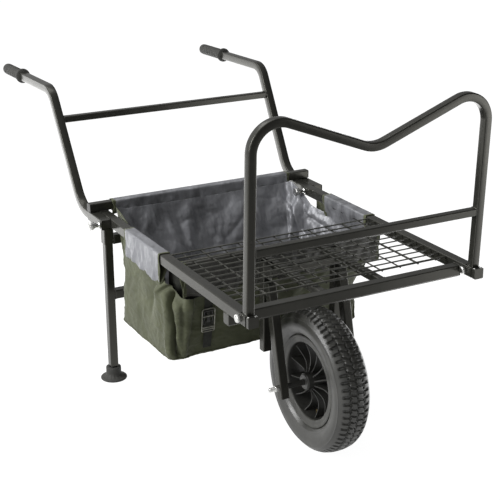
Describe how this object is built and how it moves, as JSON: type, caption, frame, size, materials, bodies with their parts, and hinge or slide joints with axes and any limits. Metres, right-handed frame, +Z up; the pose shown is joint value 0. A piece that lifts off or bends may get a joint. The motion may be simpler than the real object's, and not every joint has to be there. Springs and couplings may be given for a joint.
{
  "type": "fishing trolley",
  "caption": "Single-wheel fishing trolley with a wire deck, front hoop, slung bag, rear legs on rocking feet and long bent handles.",
  "frame": {"origin": "middle of the bounding box, on the ground", "axes": "+X to the right, +Y to the back where the handles are, +Z up"},
  "size_m": [0.7968, 1.6597, 0.9999],
  "materials": {
    "paint": "satin dark grey-olive paint",
    "chrome": "bright plated",
    "zinc": "zinc plated",
    "rubber": "matt moulded rubber",
    "tyre": "dusty black tread",
    "plastic": "moulded black",
    "cloth": "coated green cloth",
    "webbing": "woven strap",
    "brass": "plain"
  },
  "bodies": {
    "frame": {"rail_left": "paint", "rail_right": "paint", "front_crossbar": "paint", "lower_crossbar": "paint", "mid_crossbar": "paint", "rear_cross_tube": "paint", "stringer_left": "paint", "stringer_right": "paint", "mesh_platform": "paint", "fork_post_left": "paint", "fork_post_right": "paint", "fork_arm_left": "paint", "fork_arm_right": "paint", "fork_crown": "paint", "handle_socket_left": "paint", "handle_socket_right": "paint", "leg_socket_left": "paint", "leg_socket_right": "paint", "leg_socket_bar": "paint", "axle_bolt": "chrome", "axle_nut": "chrome", "axle_spacer_left": "plastic", "axle_spacer_right": "plastic", "rail_plug_left": "plastic", "rail_plug_right": "plastic", "cross_tube_plug_left": "plastic", "cross_tube_plug_right": "plastic", "bag": "cloth", "bag_strap": "webbing", "bag_buckle": "plastic"},
    "wheel": {"tyre": "tyre", "inner_tube": "rubber", "rim": "plastic", "bearing_left": "zinc", "bearing_right": "zinc", "valve_stem": "brass"},
    "hoop": {"hoop_tube": "paint", "hoop_crossbar": "paint", "hoop_foot_left": "paint", "hoop_foot_right": "paint"},
    "handle_frame": {"handle_left": "paint", "handle_right": "paint", "handle_crossbar": "paint", "grip_left": "rubber", "grip_right": "rubber"},
    "leg_frame": {"leg_left": "paint", "leg_right": "paint", "leg_crossbar": "paint", "foot_stem_left": "zinc", "foot_stem_right": "zinc"},
    "foot_left": {"foot_left": "rubber"},
    "hoop_knob_left": {"hoop_knob_left": "chrome"},
    "handle_knob_left": {"handle_knob_left": "chrome"},
    "leg_screw_left": {"leg_screw_left": "chrome"},
    "foot_right": {"foot_right": "rubber"},
    "hoop_knob_right": {"hoop_knob_right": "chrome"},
    "handle_knob_right": {"handle_knob_right": "chrome"},
    "leg_screw_right": {"leg_screw_right": "chrome"}
  },
  "joints": [
    {"name": "wheel_spin", "type": "hinge", "parent": "frame", "child": "wheel", "pos_m": [0.0093, -0.5822, 0.2], "axis": [1, 0, 0], "continuous": true},
    {"name": "hoop_slide", "type": "slide", "parent": "frame", "child": "hoop", "axis": [0, -1, 0], "range_m": [0, 0.08]},
    {"name": "handle_slide", "type": "slide", "parent": "frame", "child": "handle_frame", "axis": [0, 1, 0], "range_m": [0, 0.085]},
    {"name": "leg_slide", "type": "slide", "parent": "frame", "child": "leg_frame", "axis": [0, 0, -1], "range_m": [0, 0.04]},
    {"name": "foot_left_rock", "type": "hinge", "parent": "leg_frame", "child": "foot_left", "pos_m": [-0.3187, 0.0796, 0.022], "axis": [1, 0, 0], "range_deg": [-8, 8]},
    {"name": "hoop_knob_left_turn", "type": "hinge", "parent": "frame", "child": "hoop_knob_left", "pos_m": [-0.3327, -0.7822, 0.522], "axis": [1, 0, 0], "range_deg": [0, 720]},
    {"name": "handle_knob_left_turn", "type": "hinge", "parent": "frame", "child": "handle_knob_left", "pos_m": [-0.3624, 0.0198, 0.5213], "axis": [1, 0, 0], "range_deg": [0, 720]},
    {"name": "leg_screw_left_turn", "type": "hinge", "parent": "frame", "child": "leg_screw_left", "pos_m": [-0.3187, 0.0946, 0.4737], "axis": [0, 1, 0], "range_deg": [0, 720]},
    {"name": "foot_right_rock", "type": "hinge", "parent": "leg_frame", "child": "foot_right", "pos_m": [0.3373, 0.0796, 0.022], "axis": [1, 0, 0], "range_deg": [-8, 8]},
    {"name": "hoop_knob_right_turn", "type": "hinge", "parent": "frame", "child": "hoop_knob_right", "pos_m": [0.3233, -0.7822, 0.522], "axis": [1, 0, 0], "range_deg": [0, 720]},
    {"name": "handle_knob_right_turn", "type": "hinge", "parent": "frame", "child": "handle_knob_right", "pos_m": [0.3233, 0.0198, 0.5213], "axis": [1, 0, 0], "range_deg": [0, 720]},
    {"name": "leg_screw_right_turn", "type": "hinge", "parent": "frame", "child": "leg_screw_right", "pos_m": [0.3373, 0.0946, 0.4737], "axis": [0, 1, 0], "range_deg": [0, 720]}
  ]
}
